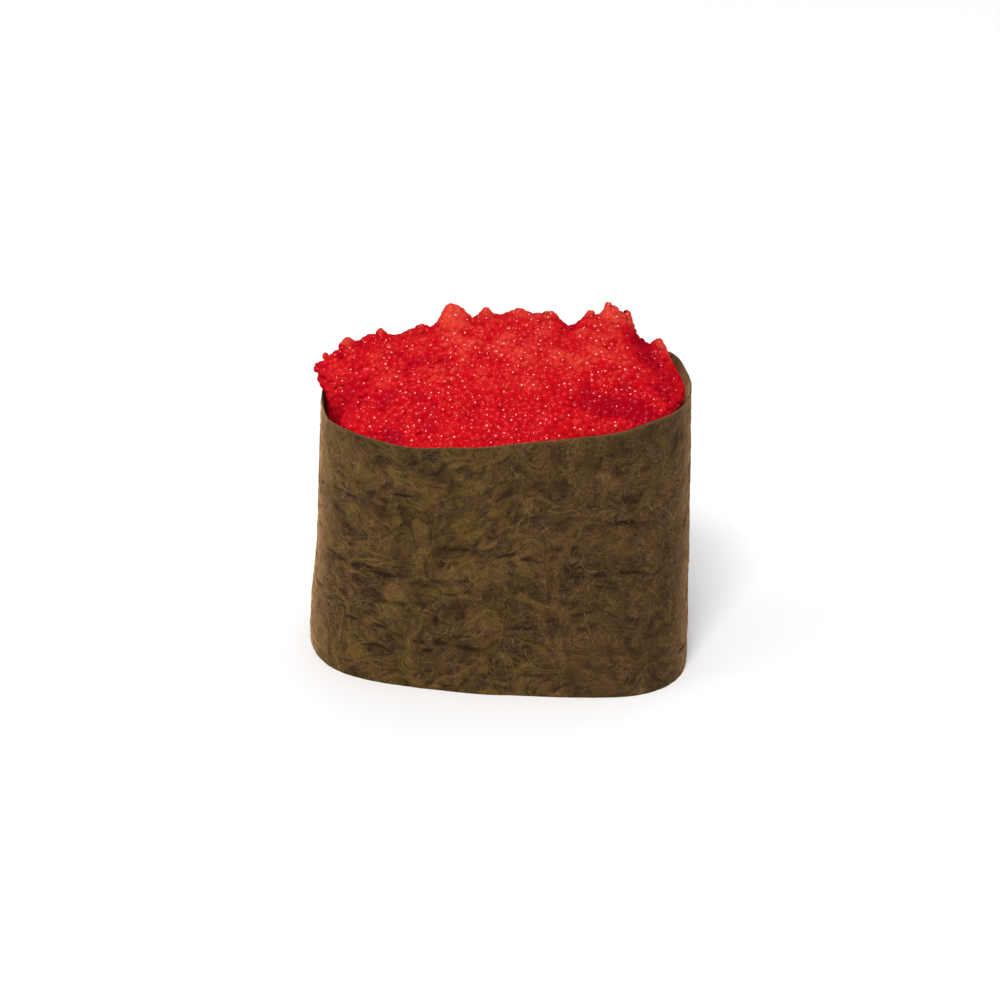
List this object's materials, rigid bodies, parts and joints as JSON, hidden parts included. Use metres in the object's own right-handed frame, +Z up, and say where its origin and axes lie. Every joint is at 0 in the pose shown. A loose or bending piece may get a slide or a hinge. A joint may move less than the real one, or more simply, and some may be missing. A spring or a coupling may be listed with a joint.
{
  "type": "gunkan sushi",
  "caption": "Battleship-style sushi: a seaweed strip wrapped round a rounded oblong block of rice, its top filled with an uneven heap of small red fish roe",
  "frame": {"origin": "middle of the bounding box in plan, at the flat underside that rests on a plate", "axes": "+X along the block's long side, +Y toward its back across the short side, +Z up through the heap of roe"},
  "size_m": [0.0517, 0.0359, 0.0456],
  "materials": {
    "nori": "matt brown-green dried seaweed",
    "rice": "moist white cooked rice",
    "roe": "wet translucent red fish roe"
  },
  "bodies": {
    "root": {"nori": "nori", "rice": "rice", "roe": "roe"}
  },
  "joints": []
}
